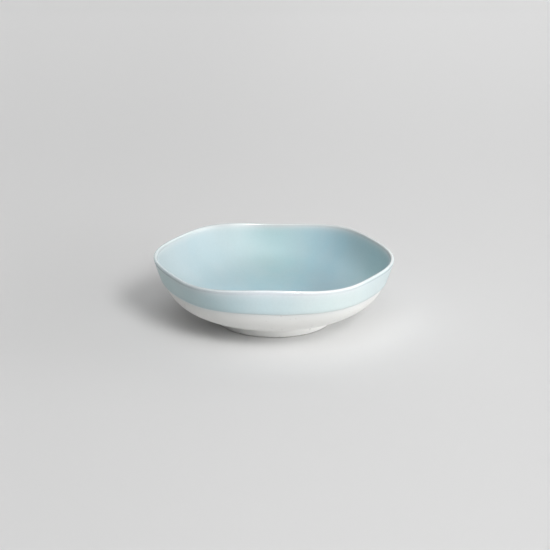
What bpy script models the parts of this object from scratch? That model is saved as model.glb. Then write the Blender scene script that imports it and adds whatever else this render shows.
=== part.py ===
# Side dish bowl: a hand-shaped porcelain bowl on a luted foot ring, with two coats of pale blue glaze.
# Metres, +Z up. The origin is on the table, on the bowl's axis.
import math

import bmesh
import bpy

# Driving dimensions
RIM_DIAMETER = 0.1180               # mean width across the glazed lip
RIM_HEIGHT = 0.0335                 # mean height of the glazed lip above the table
LIP_THICKNESS = 0.0008              # bare porcelain at the lip
LIP_LEAN = math.radians(12.0)       # how far the wall leans out from upright at the lip
LIP_FULLNESS = 0.72                 # share of the rise over which that lean holds
BASE_SLOPE = math.radians(18.0)     # rise of the wall from level where it leaves the foot
BASE_FULLNESS = 0.70                # share of the reach over which that slope holds
WALL_THICKNESS = 0.0034             # bare porcelain beside the foot
FLOOR_THICKNESS = 0.0032            # bare porcelain at the middle of the floor
FLOOR_BLEND = 0.0060                # height over which the floor runs into the wall
LOBE_COUNT = 6                      # soft corners of the lip, seen from above
LOBE_DEPTH = 0.0017                 # a corner stands out, and a flat falls in, by this much
WAVE_COUNT = 3                      # high stretches of the lip, seen from the side
WAVE_HEIGHT = 0.0011                # rise and fall of the lip about its mean height
SHAPING_FADE = 1.4                  # power by which lobes and waves die out down the wall
FOOT_DIAMETER = 0.0585              # outside of the foot ring on the table
FOOT_HEIGHT = 0.0045                # height of the seat under the floor
FOOT_WIDTH = 0.0040                 # width of the ring near the table
FOOT_FLARE = 0.0012                 # how far the ring widens outwards to its seat
FOOT_ROUND = 0.0008                 # rounding of the ring's two lower edges
GLAZE_THICKNESS = 0.00025           # both coats
GLAZE_EDGE = 0.00012                # rim coat where it runs out at the dip line
DIP_HEIGHT = 0.0210                 # dip line outside, above the table
LAP_DEPTH = 0.0030                  # rim coat's reach down the inside, below the lip's rounding
CLEARANCE = 0.0002                  # between pieces that lie on one another

# Facets
AROUND = 60
LOWER_WALL = 5
UPPER_WALL = 4
LIP_ROUND = 6
INNER_WALL = 9
FLOOR = 4
FOOT_CORNER = 2
FOOT_COVE = 3
LAP_COUNT = 2

# Worked out from those
SKIN = CLEARANCE + GLAZE_THICKNESS
LIP_RADIUS = LIP_THICKNESS / 2
LIP_CENTRE = (RIM_DIAMETER / 2 - SKIN - LIP_RADIUS, RIM_HEIGHT - SKIN - LIP_RADIUS)
SEAT_RADIUS = FOOT_DIAMETER / 2 + FOOT_FLARE
FLOOR_LEVEL = FOOT_HEIGHT + FLOOR_THICKNESS


def lip_point(angle):
    return (LIP_CENTRE[0] + LIP_RADIUS * math.cos(angle), LIP_CENTRE[1] + LIP_RADIUS * math.sin(angle))


def wall_controls():
    # The outer wall is one curve from the seat on the foot to the lip's rounding
    foot = (SEAT_RADIUS, FOOT_HEIGHT)
    lip = lip_point(-LIP_LEAN)
    out = BASE_FULLNESS * (lip[0] - foot[0])
    up = LIP_FULLNESS * (lip[1] - foot[1])
    return (foot,
            (foot[0] + out, foot[1] + out * math.tan(BASE_SLOPE)),
            (lip[0] - up * math.tan(LIP_LEAN), lip[1] - up),
            lip)


def outer_point(t):
    a, b, c, d = wall_controls()
    s = 1 - t
    return tuple(s**3 * a[i] + 3 * s * s * t * b[i] + 3 * s * t * t * c[i] + t**3 * d[i] for i in (0, 1))


def outer_slope(t):
    a, b, c, d = wall_controls()
    s = 1 - t
    dr, dz = (3 * s * s * (b[i] - a[i]) + 6 * s * t * (c[i] - b[i]) + 3 * t * t * (d[i] - c[i]) for i in (0, 1))
    length = math.hypot(dr, dz)
    return dr / length, dz / length


def above_floor(z):
    # Soft maximum of a wall height and the floor's level
    share = max(FLOOR_BLEND - abs(z - FLOOR_LEVEL), 0) / FLOOR_BLEND
    return max(z, FLOOR_LEVEL) + share * share * FLOOR_BLEND / 4


def raw_inner_point(t):
    # The wall thins from the foot to the lip
    thickness = LIP_THICKNESS + (WALL_THICKNESS - LIP_THICKNESS) * (1 - t * t)
    r, z = outer_point(t)
    dr, dz = outer_slope(t)
    return r - thickness * dz, z + thickness * dr


def inner_point(t):
    r, z = raw_inner_point(t)
    return r, above_floor(z)


def share_at_height(curve, height):
    low, high = 0.0, 1.0
    for _ in range(50):
        middle = (low + high) / 2
        if curve(middle)[1] < height:
            low = middle
        else:
            high = middle
    return low


def stretch(curve, start, end, count):
    return [curve(start + (end - start) * i / count) for i in range(count + 1)]


def floor_points():
    # From the foot of the inner wall to the axis, along the wall's own slope until the floor takes over
    r, z = raw_inner_point(0)
    reach = [r * (1 - i / FLOOR) for i in range(1, FLOOR + 1)]
    return [(x, above_floor(z - (r - x) * math.tan(BASE_SLOPE))) for x in reach]


def bare_surface():
    # The porcelain's meridian in three stretches: bare, under the rim coat, and under the inner coat.
    # A hairline seam parts the last two
    dip = share_at_height(outer_point, DIP_HEIGHT)
    lap = inner_point(1)[1] - LAP_DEPTH
    seam_top = share_at_height(inner_point, lap)
    seam_bottom = share_at_height(inner_point, lap - CLEARANCE)
    lower = stretch(outer_point, 0, dip, LOWER_WALL)
    upper = stretch(outer_point, dip, 1, UPPER_WALL)
    lip = stretch(lip_point, -LIP_LEAN, math.pi - LIP_LEAN, LIP_ROUND)
    lapped = stretch(inner_point, 1, seam_top, LAP_COUNT)
    inner = stretch(inner_point, seam_bottom, 0, INNER_WALL)
    return lower[:-1], upper + lip[1:-1] + lapped, inner + floor_points()


def offset(path, distances):
    # Mitred, to the right of the way the path runs, which is away from the porcelain
    normals = []
    for (r0, z0), (r1, z1) in zip(path, path[1:]):
        length = math.hypot(r1 - r0, z1 - z0)
        normals.append(((z1 - z0) / length, (r0 - r1) / length))
    result = []
    for i, (r, z) in enumerate(path):
        before = normals[max(i - 1, 0)]
        after = normals[min(i, len(normals) - 1)]
        reach = distances[i] / (1 + before[0] * after[0] + before[1] * after[1])
        shifted = r + reach * (before[0] + after[0])
        result.append((shifted if r > 0 else 0.0, z + reach * (before[1] + after[1])))
    return result


def coat(path, thicknesses):
    under = offset(path, [CLEARANCE] * len(path))
    over = offset(path, [CLEARANCE + thickness for thickness in thicknesses])
    return under[::-1] + over


def shape_by_hand(mesh):
    # Six soft corners and three high stretches, strongest at the lip and gone at the foot
    radius = RIM_DIAMETER / 2
    for vertex in mesh.verts:
        x, y, z = vertex.co
        angle = math.atan2(y, x)
        fade = max((z - FOOT_HEIGHT) / (RIM_HEIGHT - FOOT_HEIGHT), 0) ** SHAPING_FADE
        spread = 1 + LOBE_DEPTH / radius * math.cos(LOBE_COUNT * angle) * fade
        lift = WAVE_HEIGHT * math.sin(WAVE_COUNT * angle) * fade * math.hypot(x, y) / radius
        vertex.co = (x * spread, y * spread, z + lift)


def material(name, colour, roughness):
    made = bpy.data.materials.new(name)
    made.use_nodes = True
    shader = made.node_tree.nodes["Principled BSDF"]
    shader.inputs["Base Color"].default_value = (*colour, 1)
    shader.inputs["Roughness"].default_value = roughness
    shader.inputs["Metallic"].default_value = 0
    return made


def turned(name, outline, closed, finish, parent):
    # Spin an outline of radius and height about the axis, then shape it by hand
    mesh = bmesh.new()
    ring = [mesh.verts.new((r, 0, z)) for r, z in outline]
    pairs = list(zip(ring, ring[1:]))
    if closed:
        pairs.append((ring[-1], ring[0]))
    edges = [mesh.edges.new(pair) for pair in pairs]
    bmesh.ops.spin(mesh, geom=ring + edges, cent=(0, 0, 0), axis=(0, 0, 1),
                   angle=2 * math.pi, steps=AROUND, use_merge=True)
    bmesh.ops.remove_doubles(mesh, verts=mesh.verts, dist=1e-7)
    shape_by_hand(mesh)
    bmesh.ops.recalc_face_normals(mesh, faces=mesh.faces)
    data = bpy.data.meshes.new(name)
    mesh.to_mesh(data)
    mesh.free()
    data.shade_smooth()
    data.set_sharp_from_angle(angle=math.radians(40))
    data.materials.append(finish)
    made = bpy.data.objects.new(name, data)
    made.parent = parent
    bpy.context.collection.objects.link(made)
    return made


def corner(centre, start, end):
    # A rounded lower edge of the foot ring
    angles = [start + (end - start) * i / FOOT_CORNER for i in range(FOOT_CORNER + 1)]
    return [(centre[0] + FOOT_ROUND * math.cos(a), centre[1] + FOOT_ROUND * math.sin(a)) for a in angles]


def porcelain_body(parent):
    bare, rim, inside = bare_surface()
    outline = [(0.0, FOOT_HEIGHT)] + bare + rim + inside
    return turned("porcelain_body", outline, False, material("bare_porcelain", (0.83, 0.82, 0.80), 0.45), parent)


def foot_ring(parent):
    outer = FOOT_DIAMETER / 2
    inner = outer - FOOT_WIDTH
    top = FOOT_HEIGHT - CLEARANCE
    outside = corner((outer - FOOT_ROUND, FOOT_ROUND), -math.pi / 2, 0)
    inside = corner((inner + FOOT_ROUND, FOOT_ROUND), math.pi, 1.5 * math.pi)
    shares = [i / FOOT_COVE for i in range(1, FOOT_COVE + 1)]
    cove = [(outer + FOOT_FLARE * share**3, FOOT_ROUND + (top - FOOT_ROUND) * share) for share in shares]
    outline = outside + cove + [(inner - FOOT_FLARE / 2, top)] + inside
    return turned("foot_ring", outline, True, material("foot_porcelain", (0.80, 0.79, 0.77), 0.55), parent)


def inner_glaze(parent):
    path = bare_surface()[2]
    outline = coat(path, [GLAZE_THICKNESS] * len(path))
    return turned("inner_glaze", outline, False, material("liner_glaze", (0.60, 0.75, 0.79), 0.08), parent)


def outer_glaze_band(parent):
    path = bare_surface()[1]
    thicknesses = [GLAZE_EDGE] + [GLAZE_THICKNESS] * (len(path) - 1)
    outline = coat(path, thicknesses)
    return turned("outer_glaze_band", outline, True, material("rim_glaze", (0.64, 0.78, 0.82), 0.08), parent)


for thing in list(bpy.data.objects):
    bpy.data.objects.remove(thing)

axis = bpy.data.objects.new("bowl_axis", None)
bpy.context.collection.objects.link(axis)
porcelain_body(axis)
foot_ring(axis)
inner_glaze(axis)
outer_glaze_band(axis)
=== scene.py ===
import math

import bmesh
import bpy
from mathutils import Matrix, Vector, noise


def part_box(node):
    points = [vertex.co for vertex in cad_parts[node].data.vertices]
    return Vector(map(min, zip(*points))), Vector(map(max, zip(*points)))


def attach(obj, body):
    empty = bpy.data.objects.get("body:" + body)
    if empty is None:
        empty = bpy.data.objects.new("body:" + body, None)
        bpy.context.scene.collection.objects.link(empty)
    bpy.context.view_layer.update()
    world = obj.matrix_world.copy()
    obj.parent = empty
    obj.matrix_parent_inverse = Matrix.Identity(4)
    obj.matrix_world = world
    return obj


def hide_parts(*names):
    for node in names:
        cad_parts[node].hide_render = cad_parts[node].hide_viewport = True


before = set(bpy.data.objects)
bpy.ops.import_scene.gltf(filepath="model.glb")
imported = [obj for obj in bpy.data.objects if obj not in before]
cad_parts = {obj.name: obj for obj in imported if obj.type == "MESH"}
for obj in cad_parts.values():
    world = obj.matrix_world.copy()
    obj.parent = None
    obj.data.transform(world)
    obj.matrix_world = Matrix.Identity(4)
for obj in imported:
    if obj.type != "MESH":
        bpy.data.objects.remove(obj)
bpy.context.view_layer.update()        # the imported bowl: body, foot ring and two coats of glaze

scene = bpy.context.scene
scene.view_settings.view_transform = "Standard"

# the bowl's meridian and its hand shaping, in metres and degrees; down to coatDepth as the solids have them
bowl = {
    "rimRadius": 0.0590,
    "rimHeight": 0.0335,
    "lipThickness": 0.0008,
    "lipLean": 12.0,
    "lipFullness": 0.72,
    "baseSlope": 18.0,
    "baseFullness": 0.70,
    "wallThickness": 0.0034,
    "floorThickness": 0.0032,
    "floorBlend": 0.0060,
    "lobes": 6,
    "lobeDepth": 0.0017,
    "waves": 3,
    "waveHeight": 0.0011,
    "shapingFade": 1.4,
    "coatDepth": 0.00045,   # glaze with the gap that the solids keep under it
    "sink": 0.00003,        # how far a coat reaches into the porcelain, so that no light gets under it
    "wobble": 0.00010,      # unevenness of a wall that was finished by hand
    "wobbleSize": 0.026,
    "wobbleGrowth": 3,      # how fast it comes in above the foot
    "lipShift": -0.0004,    # the lip was pinched a little off centre
    "endDrop": 0.0005,      # and hangs lower at its right end
    "endAngle": -3.0,
    "endWidth": 26.0,
    "turns": 240,
    "sharpAngle": 50.0,     # edges sharper than this stay crisp
    "halvings": 40,         # in the search for a height on the wall
}
coatDepth = bowl["coatDepth"]
sink = bowl["sink"]
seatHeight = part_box("porcelain_body")[0].z
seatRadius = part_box("foot_ring")[1].x
lipRadius = bowl["lipThickness"] / 2
lipCentre = (bowl["rimRadius"] - coatDepth - lipRadius, bowl["rimHeight"] - coatDepth - lipRadius)
floorLevel = seatHeight + bowl["floorThickness"]
lean = math.radians(bowl["lipLean"])
slope = math.radians(bowl["baseSlope"])


def blendOver(low, high, value):
    share = min(max((value - low) / (high - low), 0.0), 1.0)
    return share * share * (3 - 2 * share)


def mixed(first, second, share):
    return tuple(a + (b - a) * share for a, b in zip(first, second))


def swellAt(angle, centre, width):
    # 1 at one angle around the bowl, dying out to both sides
    turn = (math.degrees(angle) - centre + 180) % 360 - 180
    return math.exp(-(turn / width) ** 2)


def cubicPoint(a, b, c, d, t):
    s = 1 - t
    return tuple(s**3 * a[i] + 3 * s * s * t * b[i] + 3 * s * t * t * c[i] + t**3 * d[i] for i in (0, 1))


def lipPoint(angle):
    return (lipCentre[0] + lipRadius * math.cos(angle), lipCentre[1] + lipRadius * math.sin(angle))


def wallHandles():
    # the outer wall is one curve, from its seat on the foot to the lip's rounding
    foot = (seatRadius, seatHeight)
    lip = lipPoint(-lean)
    out = bowl["baseFullness"] * (lip[0] - foot[0])
    up = bowl["lipFullness"] * (lip[1] - foot[1])
    low = (foot[0] + out, foot[1] + out * math.tan(slope))
    high = (lip[0] - up * math.tan(lean), lip[1] - up)
    return foot, low, high, lip


handles = wallHandles()


def wallPoint(t):
    return cubicPoint(*handles, t)


def wallHeading(t):
    a, b, c, d = handles
    s = 1 - t
    dr, dz = (3 * s * s * (b[i] - a[i]) + 6 * s * t * (c[i] - b[i]) + 3 * t * t * (d[i] - c[i])
              for i in (0, 1))
    length = math.hypot(dr, dz)
    return dr / length, dz / length


def aboveFloor(z):
    # soft maximum of a height and the floor's level
    share = max(bowl["floorBlend"] - abs(z - floorLevel), 0) / bowl["floorBlend"]
    return max(z, floorLevel) + share * share * bowl["floorBlend"] / 4


def insidePoint(t, settle=True):
    # the wall thins from the foot to the lip
    thickness = bowl["lipThickness"] + (bowl["wallThickness"] - bowl["lipThickness"]) * (1 - t * t)
    r, z = wallPoint(t)
    dr, dz = wallHeading(t)
    z += thickness * dr
    return r - thickness * dz, aboveFloor(z) if settle else z


def shareAtHeight(curve, height):
    low, high = 0.0, 1.0
    for _ in range(bowl["halvings"]):
        middle = (low + high) / 2
        if curve(middle)[1] < height:
            low = middle
        else:
            high = middle
    return low


def along(curve, start, end, count):
    return [curve(start + (end - start) * i / count) for i in range(count + 1)]


def floorPath(count):
    # from the foot of the inner wall to the axis
    r, z = insidePoint(0, settle=False)
    reach = [r * (1 - i / count) for i in range(1, count + 1)]
    return [(x, aboveFloor(z - (r - x) * math.tan(slope))) for x in reach]


def offsetPath(path, distances):
    # mitred, away from the porcelain
    normals = []
    for (r0, z0), (r1, z1) in zip(path, path[1:]):
        length = math.hypot(r1 - r0, z1 - z0)
        normals.append(((z1 - z0) / length, (r0 - r1) / length))
    moved = []
    for i, (r, z) in enumerate(path):
        before = normals[max(i - 1, 0)]
        after = normals[min(i, len(normals) - 1)]
        reach = distances[i] / (1 + before[0] * after[0] + before[1] * after[1])
        outward = r + reach * (before[0] + after[0]) if r > 0 else 0.0
        moved.append((outward, z + reach * (before[1] + after[1])))
    return moved


def pathLengths(path):
    lengths = [0.0]
    for (r0, z0), (r1, z1) in zip(path, path[1:]):
        lengths.append(lengths[-1] + math.hypot(r1 - r0, z1 - z0))
    return lengths


def handShaped(r, z, angle):
    # soft corners and high stretches at the lip, dying out towards the foot
    fade = max((z - seatHeight) / (bowl["rimHeight"] - seatHeight), 0) ** bowl["shapingFade"]
    place = Vector((r * math.cos(angle), r * math.sin(angle), z))
    uneven = bowl["wobble"] * noise.noise(place / bowl["wobbleSize"]) * min(fade * bowl["wobbleGrowth"], 1)
    corners = bowl["lobeDepth"] * math.cos(bowl["lobes"] * angle) * fade
    spread = 1 + (corners + uneven) / bowl["rimRadius"]
    lift = bowl["waveHeight"] * math.sin(bowl["waves"] * angle) * fade * r / bowl["rimRadius"]
    lift -= bowl["endDrop"] * swellAt(angle, bowl["endAngle"], bowl["endWidth"]) * fade
    return place.x * spread + bowl["lipShift"] * fade, place.y * spread, z + lift


def loft(name, outlineAt, closed, material):
    # rings of (radius, height, coat) at each angle, joined with quads; a point on the axis is one vertex
    mesh = bmesh.new()
    coats = []
    poles = {}
    rings = []
    turns = bowl["turns"]
    for k in range(turns):
        angle = 2 * math.pi * k / turns
        ring = []
        for i, (r, z, coat) in enumerate(outlineAt(angle)):
            if r == 0 and i in poles:
                ring.append(poles[i])
                continue
            vertex = mesh.verts.new(handShaped(r, z, angle))
            coats.extend(coat)
            ring.append(vertex)
            if r == 0:
                poles[i] = vertex
        rings.append(ring)
    count = len(rings[0])
    for k in range(turns):
        here = rings[k]
        there = rings[(k + 1) % turns]
        for i in range(count if closed else count - 1):
            j = (i + 1) % count
            corners = []
            for vertex in (here[i], there[i], there[j], here[j]):
                if vertex not in corners:
                    corners.append(vertex)
            mesh.faces.new(corners)
    bmesh.ops.recalc_face_normals(mesh, faces=mesh.faces)
    data = bpy.data.meshes.new(name)
    mesh.to_mesh(data)
    mesh.free()
    layer = data.attributes.new("coat", "FLOAT_COLOR", "POINT")     # alpha: depth of glass, or smear on clay
    layer.data.foreach_set("color", coats)
    data.shade_smooth()
    data.set_sharp_from_angle(angle=math.radians(bowl["sharpAngle"]))
    data.materials.append(material)
    made = bpy.data.objects.new(name, data)
    scene.collection.objects.link(made)
    print(name, len(data.vertices), "vertices")
    return made


def startMaterial(name):
    material = bpy.data.materials.new(name)
    material.use_nodes = True
    return material, material.node_tree, material.node_tree.nodes["Principled BSDF"]


def coatNode(tree):
    made = tree.nodes.new("ShaderNodeAttribute")
    made.attribute_name = "coat"
    return made


def noiseNode(tree, coords, scale, detail=1.0, stretch=(1, 1, 1)):
    place = tree.nodes.new("ShaderNodeMapping")
    place.inputs["Scale"].default_value = stretch
    tree.links.new(coords.outputs["Object"], place.inputs["Vector"])
    made = tree.nodes.new("ShaderNodeTexNoise")
    made.inputs["Scale"].default_value = scale
    made.inputs["Detail"].default_value = detail
    tree.links.new(place.outputs["Vector"], made.inputs["Vector"])
    return made.outputs["Fac"]


def rangeNode(tree, source, before, after):
    made = tree.nodes.new("ShaderNodeMapRange")
    made.interpolation_type = "SMOOTHSTEP"
    for name, value in zip(("From Min", "From Max", "To Min", "To Max"), (*before, *after)):
        made.inputs[name].default_value = value
    tree.links.new(source, made.inputs["Value"])
    return made.outputs["Result"]


def swingNode(tree, source, before, amount, middle):
    return rangeNode(tree, source, before, (middle - amount, middle + amount))


def rampNode(tree, source, colours):
    # the colours stand at even steps
    made = tree.nodes.new("ShaderNodeValToRGB")
    ramp = made.color_ramp
    last = len(colours) - 1
    while len(ramp.elements) <= last:
        ramp.elements.new(0.5)
    for i, colour in enumerate(colours):
        ramp.elements[i].position = i / last
        ramp.elements[i].color = (*colour, 1)
    tree.links.new(source, made.inputs["Fac"])
    return made.outputs["Color"]


def shadeNode(tree, colour, value):
    made = tree.nodes.new("ShaderNodeHueSaturation")
    tree.links.new(colour, made.inputs["Color"])
    tree.links.new(value, made.inputs["Value"])
    return made


def mixNode(tree, share, first, second):
    made = tree.nodes.new("ShaderNodeMix")
    made.data_type = "RGBA"
    tree.links.new(share, made.inputs[0])
    tree.links.new(first, made.inputs[6])       # by number, since its sockets for other types share the names
    made.inputs[7].default_value = (*second, 1)
    return made.outputs[2]


def bumpNode(tree, height, strength, distance, under=None):
    made = tree.nodes.new("ShaderNodeBump")
    made.inputs["Strength"].default_value = strength
    made.inputs["Distance"].default_value = distance
    tree.links.new(height, made.inputs["Height"])
    if under:
        tree.links.new(under, made.inputs["Normal"])
    return made.outputs["Normal"]


def mathNode(tree, operation, *values):
    made = tree.nodes.new("ShaderNodeMath")
    made.operation = operation
    for socket, value in zip(made.inputs, values):
        if isinstance(value, (int, float)):
            socket.default_value = value
        else:
            tree.links.new(value, socket)
    return made.outputs[0]


glazeLook = {
    "noiseSpan": (0.25, 0.75),  # noise seldom leaves this
    "cloudScale": 34.0,
    "cloudDetail": 1.5,
    "cloud": 0.035,
    "runScale": 120.0,          # faint runs, drawn out downwards
    "runStretch": (1, 1, 0.15),
    "run": 0.06,
    "bubbleScale": 900.0,
    "bubble": 0.012,
    "roughness": (0.14, 0.55),  # on the lip and in the bowl
    "roughSpread": 0.03,
    "gloss": (0.5, 0.25),       # on the lip and in the bowl
    "refraction": 1.52,
    "waveScale": 95.0,
    "wave": 0.05,
    "waveDepth": 0.001,
    "dimpleScale": 420.0,
    "dimpleDetail": 2.0,
    "dimple": 0.02,
    "dimpleDepth": 0.0005,
}


def makeGlaze(name):
    look = glazeLook
    span = look["noiseSpan"]
    material, tree, shader = startMaterial(name)
    coords = tree.nodes.new("ShaderNodeTexCoord")
    coat = coatNode(tree)
    depth = coat.outputs["Alpha"]
    cloud = noiseNode(tree, coords, look["cloudScale"], look["cloudDetail"])
    runs = noiseNode(tree, coords, look["runScale"], stretch=look["runStretch"])
    bubbles = noiseNode(tree, coords, look["bubbleScale"])
    clouded = swingNode(tree, cloud, span, look["cloud"], 1)
    bubbled = swingNode(tree, bubbles, span, look["bubble"], 1)
    shade = shadeNode(tree, coat.outputs["Color"], mathNode(tree, "MULTIPLY", clouded, bubbled))
    tree.links.new(swingNode(tree, runs, span, look["run"], 1), shade.inputs["Saturation"])
    tree.links.new(shade.outputs["Color"], shader.inputs["Base Color"])
    rough = rangeNode(tree, depth, (0, 1), look["roughness"])
    spread = swingNode(tree, cloud, span, look["roughSpread"], 0)
    tree.links.new(mathNode(tree, "ADD", rough, spread), shader.inputs["Roughness"])
    tree.links.new(rangeNode(tree, depth, (0, 1), look["gloss"]), shader.inputs["Specular IOR Level"])
    shader.inputs["IOR"].default_value = look["refraction"]
    waves = noiseNode(tree, coords, look["waveScale"])
    dimples = noiseNode(tree, coords, look["dimpleScale"], look["dimpleDetail"])
    wavy = bumpNode(tree, waves, look["wave"], look["waveDepth"])
    dimpled = bumpNode(tree, dimples, look["dimple"], look["dimpleDepth"], wavy)
    tree.links.new(dimpled, shader.inputs["Normal"])
    return material


clayLook = {
    "noiseSpan": (0.3, 0.7),
    "cloudScale": 45.0,
    "cloudDetail": 4.0,
    "cloud": 0.02,
    "roughness": (0.42, 0.55),
    "wash": (0.64, 0.70, 0.71),         # thin glaze smeared below the dip line
    "speck": (0.52, 0.50, 0.47),
    "speckScale": 520.0,
    "speckSize": (0.735, 0.80),
    "speckShare": 0.3,
    # darker at the foot's bottom edge: the ground edge that stands on the table, darkened further as painted
    # shade of the contact line
    "wornAndShaded": (0.48, 0.47, 0.45),         # ground edge that stands on the table
    "wornAndShadedHeight": (0.0003, 0.0011),
    "wornAndShadedFray": 0.0008,                 # the grain frays its border by this
    "wornRoughness": 0.25,
    "grainScale": 1400.0,
    "grainDetail": 3.0,
    "grain": 0.08,
    "grainDepth": 0.0004,
    "ringScale": 520.0,                 # turning lines
    "ringDetail": 2.0,
    "ringStretch": (0.03, 0.03, 1),
    "ring": 0.03,
    "ringDepth": 0.0006,
}


def makeClay(name):
    look = clayLook
    material, tree, shader = startMaterial(name)
    coords = tree.nodes.new("ShaderNodeTexCoord")
    split = tree.nodes.new("ShaderNodeSeparateXYZ")
    tree.links.new(coords.outputs["Object"], split.inputs["Vector"])
    coat = coatNode(tree)
    cloud = noiseNode(tree, coords, look["cloudScale"], look["cloudDetail"])
    clouded = swingNode(tree, cloud, look["noiseSpan"], look["cloud"], 1)
    colour = shadeNode(tree, coat.outputs["Color"], clouded).outputs["Color"]
    colour = mixNode(tree, coat.outputs["Alpha"], colour, look["wash"])
    specks = noiseNode(tree, coords, look["speckScale"], detail=0.0)
    speckled = rangeNode(tree, specks, look["speckSize"], (0, look["speckShare"]))
    colour = mixNode(tree, speckled, colour, look["speck"])
    grain = noiseNode(tree, coords, look["grainScale"], look["grainDetail"])
    height = mathNode(tree, "MULTIPLY_ADD", grain, look["wornAndShadedFray"], split.outputs["Z"])
    # mask of the ground edge, which also carries the painted contact shade
    wornAndShaded = rangeNode(tree, height, look["wornAndShadedHeight"], (1, 0))
    colour = mixNode(tree, wornAndShaded, colour, look["wornAndShaded"])
    tree.links.new(colour, shader.inputs["Base Color"])
    rough = rangeNode(tree, cloud, look["noiseSpan"], look["roughness"])
    rough = mathNode(tree, "MULTIPLY_ADD", wornAndShaded, look["wornRoughness"], rough)
    tree.links.new(rough, shader.inputs["Roughness"])
    rings = noiseNode(tree, coords, look["ringScale"], look["ringDetail"], look["ringStretch"])
    turned = bumpNode(tree, rings, look["ring"], look["ringDepth"])
    grained = bumpNode(tree, grain, look["grain"], look["grainDepth"], turned)
    tree.links.new(grained, shader.inputs["Normal"])
    return material


linerGlaze = makeGlaze("linerGlaze")
rimGlaze = makeGlaze("rimGlaze")
bareClay = makeClay("bareClay")
footClay = makeClay("footClay")
print("materials ready")

# what both coats share; their colours are given from left to right, and most of those numbers come from a
# least-squares fit to the photograph, so they hold painted light and shade: lighter or darker across the bowl
# and, inside, towards the front, with how the light falls
glass = {
    "reach": 0.056,             # of those colours, to both sides of the axis
    "lipBlend": 0.0008,         # the coats blend over this, to both sides of the lip's crest
    "growth": 1.5,              # power by which the glass deepens away from the lip
}
rimCoat = {
    "dipHeight": 0.0210,
    "dipTilt": -0.00022,        # the dip line is lower by this at the right
    "dipWander": 0.0002,
    "wanderRate": 3,
    "wanderPlace": 7.0,
    "dipSag": 0.00035,          # the line hangs lower at the front
    "sagAngle": -88.0,
    "sagWidth": 15.0,
    "lap": 0.0030,              # reach down the inside, below the lip's rounding
    "feather": 0.0012,          # the coat grows to its full depth over this, above the dip line
    "featherPower": 0.5,
    "fade": (-0.0002, 0.0015),  # and to its full colour between these
    "bare": (0.74, 0.74, 0.73),     # colour where the glass runs out
    "bead": 0.00008,            # extra depth where the coat gathered
    "beadPlace": 0.0017,
    "beadWidth": 0.0009,
    # darker along the bead, towards black: partly the deeper glass there, partly painted shade under the bead
    "beadPaintedShade": 0.06,
    "thin": 0.0026,             # the glass is deep this far below the lip
    # painted light and shade: partly the coat's own tint, partly lighter or darker from left to right with
    # how the light falls
    "lip": [(0.45, 0.56, 0.59), (0.60, 0.66, 0.69), (0.71, 0.75, 0.79), (0.71, 0.75, 0.77),
            (0.48, 0.57, 0.59)],
    "deep": [(0.59, 0.72, 0.73), (0.47, 0.60, 0.63), (0.57, 0.69, 0.72), (0.62, 0.71, 0.71),
             (0.53, 0.60, 0.61)],
    "outsideSteps": 40,
    "lipSteps": 16,
    "insideSteps": 8,
}
innerCoat = {
    "thin": 0.0022,
    # painted light and shade: inside, the colours are paler towards the right, where less light falls
    "lip": [(0.50, 0.54, 0.54), (0.57, 0.58, 0.57), (0.81, 0.82, 0.81)],
    "deep": [(0.39, 0.47, 0.50), (0.42, 0.51, 0.53), (0.36, 0.50, 0.52), (0.38, 0.54, 0.60),
             (0.56, 0.77, 0.81)],
    # painted light and shade: towards the front these colours stand in for deep, lighter or darker with how
    # the light falls there
    "frontShading": [(0.41, 0.48, 0.50), (0.42, 0.56, 0.61), (0.41, 0.59, 0.65), (0.34, 0.48, 0.54),
             (0.48, 0.66, 0.69)],       # in place of deep, from the front to frontShadingFrom behind the axis
    "frontShadingFrom": 0.015,
    "frontShadingTo": 0.050,            # where deep has taken over
    "wallSteps": 60,
    "floorSteps": 30,
}
seamShare = shareAtHeight(insidePoint, insidePoint(1)[1] - rimCoat["lap"])


def dipAt(angle):
    look = rimCoat
    rate = look["wanderRate"]
    spot = Vector((rate * math.cos(angle), rate * math.sin(angle), look["wanderPlace"]))
    wander = look["dipWander"] * noise.noise(spot)
    sag = look["dipSag"] * swellAt(angle, look["sagAngle"], look["sagWidth"])
    return look["dipHeight"] + look["dipTilt"] * math.cos(angle) + wander - sag


def colourAcross(colours, x):
    # a smooth curve through evenly spaced colours
    last = len(colours) - 1
    place = min(max((x + glass["reach"]) / (2 * glass["reach"]), 0), 1) * last
    i = min(int(place), last - 1)
    t = place - i
    before, start, end, after = (colours[min(max(k, 0), last)] for k in range(i - 1, i + 3))
    return tuple(b + 0.5 * t * (c - a + t * (2 * a - 5 * b + 4 * c - d + t * (3 * (b - c) + d - a)))
                 for a, b, c, d in zip(before, start, end, after))


def coatAt(inward, r, angle):
    # by the distance from the lip's crest, which is positive inside the bowl
    x = r * math.cos(angle)
    y = r * math.sin(angle)
    side = innerCoat if inward > 0 else rimCoat
    crossed = blendOver(-glass["lipBlend"], glass["lipBlend"], inward)
    lip = mixed(colourAcross(rimCoat["lip"], x), colourAcross(innerCoat["lip"], x), crossed)
    deep = colourAcross(side["deep"], x)
    if inward > 0:
        share = min(max((y - side["frontShadingFrom"]) / (side["frontShadingTo"] - side["frontShadingFrom"]), 0), 1)
        # painted light and shade towards the front
        deep = mixed(colourAcross(side["frontShading"], x), deep, share)
    grown = 1 - math.exp(-(abs(inward) / side["thin"]) ** glass["growth"])
    return *mixed(lip, deep, grown), grown


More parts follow.
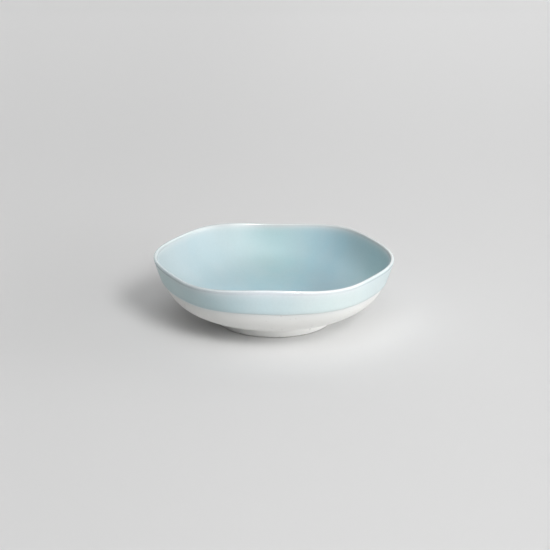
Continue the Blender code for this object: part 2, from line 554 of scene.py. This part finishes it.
def rimOutline(angle):
    look = rimCoat
    outside = along(wallPoint, shareAtHeight(wallPoint, dipAt(angle)), 1, look["outsideSteps"])
    lip = along(lipPoint, -lean, math.pi - lean, look["lipSteps"])
    inside = along(insidePoint, 1, seamShare, look["insideSteps"])
    path = outside + lip[1:-1] + inside
    lengths = pathLengths(path)
    crest = lengths[len(outside) - 1 + look["lipSteps"] // 2]
    depths = []
    coats = []
    for (r, z), length in zip(path, lengths):
        gatheredAndShaded = math.exp(-((length - look["beadPlace"]) / look["beadWidth"]) ** 2)
        feathered = blendOver(0, look["feather"], length) ** look["featherPower"]
        depths.append(coatDepth * feathered + look["bead"] * gatheredAndShaded)
        coat = mixed((*look["bare"], 1), coatAt(length - crest, r, angle), blendOver(*look["fade"], length))
        # painted shade along the bead, with the deeper glass there
        coats.append(mixed(coat, (0, 0, 0, 1), look["beadPaintedShade"] * gatheredAndShaded))
    over = offsetPath(path, depths)
    under = offsetPath(path, [-sink] * len(path))
    return [(r, z, coat) for (r, z), coat in zip(over + under[::-1], coats + coats[::-1])]


def linerOutline(angle):
    path = along(insidePoint, seamShare, 0, innerCoat["wallSteps"]) + floorPath(innerCoat["floorSteps"])
    lapped = pathLengths(along(insidePoint, 1, seamShare, rimCoat["insideSteps"]))[-1]
    toCrest = lipRadius * math.pi / 2 + lapped
    coats = [coatAt(toCrest + length, r, angle) for (r, z), length in zip(path, pathLengths(path))]
    over = offsetPath(path, [coatDepth] * len(path))
    under = offsetPath(path, [-sink] * len(path))
    return [(r, z, coat) for (r, z), coat in zip(under[::-1] + over, coats[::-1] + coats)]


bodyShape = {
    # painted light and shade: the clay is darker at the dip line and paler near the foot, where the wall
    # faces the floor and gets little light
    "highClay": (0.75, 0.75, 0.73),     # the polished wall at the dip line
    "lowClay": (0.93, 0.93, 0.91),      # and near the foot
    "paleHeights": (0.006, 0.015),      # one blends into the other between these
    "smear": 0.45,                      # share of glaze on the clay at the dip line
    "smearReach": 0.0012,
    "dimple": 0.0002,                   # hollow in the middle of the underside
    "dimpleReach": 0.012,
    "trimRing": 0.00004,                # shallow rings that the trimming tool left inside the foot
    "trimSpacing": 0.0031,
    "trimFade": (0.020, 0.023),
    "wallSteps": 60,
    "lipSteps": 12,
    "floorSteps": 24,
    "underSteps": 84,
}


def bodyOutline(angle):
    look = bodyShape
    bare = (*look["lowClay"], 0)
    under = []
    for i in range(look["underSteps"]):
        r = seatRadius * i / look["underSteps"]
        ring = look["trimRing"] * (1 - math.cos(2 * math.pi * r / look["trimSpacing"]))
        ring *= 1 - blendOver(*look["trimFade"], r)
        hollow = look["dimple"] * (1 - blendOver(0, look["dimpleReach"], r))
        under.append((r, seatHeight + hollow + ring, bare))
    dip = dipAt(angle)
    wall = []
    for r, z in along(wallPoint, 0, 1, look["wallSteps"]):
        # painted light: paler low on the wall, darker up at the dip line
        colour = mixed(look["lowClay"], look["highClay"], blendOver(*look["paleHeights"], z))
        smear = look["smear"] * math.exp(-max(dip - z, 0) / look["smearReach"])
        wall.append((r, z, (*colour, smear)))
    lip = along(lipPoint, -lean, math.pi - lean, look["lipSteps"])
    covered = lip[1:-1] + along(insidePoint, 1, 0, look["wallSteps"]) + floorPath(look["floorSteps"])
    return under + wall + [(r, z, bare) for r, z in covered]


footShape = {
    # painted light: the foot ring is as pale as the clay near the foot, to make up for the little light under
    # the wall
    "tone": (0.90, 0.90, 0.88),
    "radius": 0.02925,
    "width": 0.0040,
    "round": 0.0009,
    "coveFrom": 0.0012,
    "coveFullness": 0.62,
    "slipReach": 0.0006,        # the slip that lutes the ring is smoothed out this far along the wall
    "seatShare": 0.4,           # the hidden seat starts in from the edge by this share of the width
    "cornerSteps": 6,
    "coveSteps": 20,
}


def footOutline(angle):
    look = footShape
    outer = look["radius"]
    inner = outer - look["width"]
    turn = look["round"]
    quarter = math.pi / 2

    def corner(middle, start):
        return along(lambda a: (middle + turn * math.cos(a), turn + turn * math.sin(a)),
                     start, start + quarter, look["cornerSteps"])

    wallShare = look["slipReach"] / math.hypot(*(3 * (b - a) for a, b in zip(handles[0], handles[1])))
    r, z = wallPoint(wallShare)
    dr, dz = wallHeading(wallShare)
    edge = (r - sink * dz, z + sink * dr)
    rise = look["coveFullness"] * (edge[1] - look["coveFrom"])
    reach = look["coveFullness"] * (edge[0] - outer)
    cove = ((outer, look["coveFrom"]), (outer, look["coveFrom"] + rise),
            (edge[0] - reach * dr, edge[1] - reach * dz), edge)
    sides = along(lambda t: cubicPoint(*cove, t), 0, 1, look["coveSteps"])
    top = seatHeight + sink
    seat = [(seatRadius - look["seatShare"] * look["width"], top), (inner - (seatRadius - outer) / 2, top)]
    path = corner(outer - turn, -quarter) + sides[1:] + seat + corner(inner + turn, 2 * quarter)
    return [(r, z, (*look["tone"], 0)) for r, z in path]


pieces = [
    (loft("porcelainBody", bodyOutline, False, bareClay), "porcelain_body", "bare_porcelain"),
    (loft("footRing", footOutline, True, footClay), "foot_ring", "foot_porcelain"),
    (loft("linerCoat", linerOutline, False, linerGlaze), "inner_glaze", "liner_glaze"),
    (loft("rimCoat", rimOutline, True, rimGlaze), "outer_glaze_band", "rim_glaze"),
]
for piece, node, slot in pieces:
    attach(piece, "root")
    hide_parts(node)
print("pieces ready")

# the camera stands where the photograph was taken from
view = {
    "azimuth": -88.2,
    "elevation": 19.26,
    "distance": 1.0,
    "target": (0, 0, 0.017),
    "focalPixels": 1974.0,
    "imagePixels": 550,
    "targetPixel": (274.5, 286.26),
    "sensorWidth": 36,
    "clipStart": 0.01,
}


def headingOf(azimuth, elevation):
    turn = math.radians(azimuth)
    rise = math.radians(elevation)
    return Vector((math.cos(turn) * math.cos(rise), math.sin(turn) * math.cos(rise), math.sin(rise)))


def placeCamera():
    target = Vector(view["target"])
    backward = headingOf(view["azimuth"], view["elevation"])
    upward = headingOf(view["azimuth"] + 180, 90 - view["elevation"])
    rightward = headingOf(view["azimuth"] + 90, 0)
    middle = view["imagePixels"] / 2
    scale = view["distance"] / view["focalPixels"]
    aim = target + upward * (view["targetPixel"][1] - middle) * scale
    aim += rightward * (middle - view["targetPixel"][0]) * scale
    data = bpy.data.cameras.new("camera")
    data.sensor_width = view["sensorWidth"]
    data.lens = data.sensor_width * view["focalPixels"] / view["imagePixels"]
    data.clip_start = view["clipStart"]
    camera = bpy.data.objects.new("camera", data)
    camera.location = target + backward * view["distance"]
    camera.rotation_euler = (aim - camera.location).to_track_quat("-Z", "Y").to_euler()
    scene.collection.objects.link(camera)
    scene.camera = camera


placeCamera()
print("camera ready")

studio = {
    # painted light: the floor's grey rises from left to right and again far behind the bowl, in place of the
    # light's fall-off
    "floorGreys": (0.68, 0.71, 0.73),       # from left to right
    "floorReach": 0.12,                     # of those greys, to both sides of the axis
    "floorRise": 1.13,                      # the floor is paler by this factor
    "riseOver": (0.25, 0.85),               # between these distances behind the bowl
    "floorSize": 10.0,
    "floorFade": (1.1, 4.6),    # it fades into the backdrop between these distances from the bowl
    "floorRoughness": 0.9,
    "floorGloss": 0.1,
    "backdropColour": (0.95, 0.95, 0.95),
    "skyStrength": 0.05,        # overhead; it dies out towards the horizon
    "distance": 6.0,
    "lamps": [                  # azimuth, elevation, width and height in degrees, radiance, what it lights
        ("key", -59, 36.5, 16, 18, 16.3, "all"),
        ("lowRight", -42, 12, 26, 16, 6.2, "all"),
        ("lowEnd", 5, 11, 44, 16, 5.2, "all"),
        ("highFill", -54, 50, 40, 18, 2.7, "all"),
        ("frontFill", -105, 56, 30, 28, 2.0, "all"),
        ("lowFront", -80, 13, 24, 18, 0.7, "all"),
        ("topFill", 0, 89, 44, 44, 0.7, "all"),
        ("backFill", 78, 30, 100, 40, 0.7, "all"),
        ("leftFill", 175, 40, 60, 40, 0.14, "all"),
        ("glint", -81.2, 40, 5, 20, 170, "gloss"),
    ],
}


def mixShaders(tree, share, first, second):
    made = tree.nodes.new("ShaderNodeMixShader")
    tree.links.new(share, made.inputs["Fac"])
    tree.links.new(first, made.inputs[1])
    tree.links.new(second, made.inputs[2])
    return made.outputs["Shader"]


def makeFloorPaper():
    material, tree, shader = startMaterial("floorPaper")
    coords = tree.nodes.new("ShaderNodeTexCoord")
    split = tree.nodes.new("ShaderNodeSeparateXYZ")
    tree.links.new(coords.outputs["Object"], split.inputs["Vector"])
    # painted light: greys from left to right, and paler far behind the bowl
    across = rangeNode(tree, split.outputs["X"], (-studio["floorReach"], studio["floorReach"]), (0, 1))
    greys = rampNode(tree, across, [(grey, grey, grey) for grey in studio["floorGreys"]])
    risen = rangeNode(tree, split.outputs["Y"], studio["riseOver"], (1, studio["floorRise"]))
    tree.links.new(shadeNode(tree, greys, risen).outputs["Color"], shader.inputs["Base Color"])
    shader.inputs["Roughness"].default_value = studio["floorRoughness"]
    shader.inputs["Specular IOR Level"].default_value = studio["floorGloss"]
    away = tree.nodes.new("ShaderNodeVectorMath")
    away.operation = "LENGTH"
    tree.links.new(coords.outputs["Object"], away.inputs[0])
    fade = rangeNode(tree, away.outputs["Value"], studio["floorFade"], (0, 1))
    clear = tree.nodes.new("ShaderNodeBsdfTransparent")
    paper = mixShaders(tree, fade, shader.outputs["BSDF"], clear.outputs["BSDF"])
    tree.links.new(paper, tree.nodes["Material Output"].inputs["Surface"])
    return material


def makeFloor():
    half = studio["floorSize"] / 2
    mesh = bmesh.new()
    mesh.faces.new([mesh.verts.new(corner) for corner in
                    ((-half, -half, 0), (half, -half, 0), (half, half, 0), (-half, half, 0))])
    data = bpy.data.meshes.new("floor")
    mesh.to_mesh(data)
    mesh.free()
    data.materials.append(makeFloorPaper())
    floor = bpy.data.objects.new("floor", data)
    scene.collection.objects.link(floor)


def makeLamp(name, azimuth, elevation, width, height, radiance, lights):
    data = bpy.data.lights.new(name, "AREA")
    data.shape = "RECTANGLE"
    data.size = 2 * studio["distance"] * math.tan(math.radians(width / 2))
    data.size_y = 2 * studio["distance"] * math.tan(math.radians(height / 2))
    data.energy = radiance * math.pi * data.size * data.size_y
    made = bpy.data.objects.new(name, data)
    heading = headingOf(azimuth, elevation)
    made.location = heading * studio["distance"]
    made.rotation_euler = heading.to_track_quat("Z", "Y").to_euler()
    made.visible_diffuse = lights != "gloss"
    scene.collection.objects.link(made)


def makeWorld():
    world = bpy.data.worlds.new("studio")
    world.use_nodes = True
    tree = world.node_tree
    sky = tree.nodes["Background"]
    sky.inputs["Color"].default_value = (1, 1, 1, 1)
    direction = tree.nodes.new("ShaderNodeTexCoord")
    split = tree.nodes.new("ShaderNodeSeparateXYZ")
    tree.links.new(direction.outputs["Generated"], split.inputs["Vector"])
    upward = mathNode(tree, "MAXIMUM", split.outputs["Z"], 0.0)
    tree.links.new(mathNode(tree, "MULTIPLY", upward, studio["skyStrength"]), sky.inputs["Strength"])
    backdrop = tree.nodes.new("ShaderNodeBackground")
    backdrop.inputs["Color"].default_value = (*studio["backdropColour"], 1)
    path = tree.nodes.new("ShaderNodeLightPath")
    seen = mathNode(tree, "MAXIMUM", path.outputs["Is Glossy Ray"], path.outputs["Is Transmission Ray"])
    seen = mathNode(tree, "MAXIMUM", path.outputs["Is Camera Ray"], seen)
    around = mixShaders(tree, seen, sky.outputs["Background"], backdrop.outputs["Background"])
    tree.links.new(around, tree.nodes["World Output"].inputs["Surface"])
    scene.world = world


makeFloor()
makeWorld()
for lamp in studio["lamps"]:
    makeLamp(*lamp)
print("studio ready")
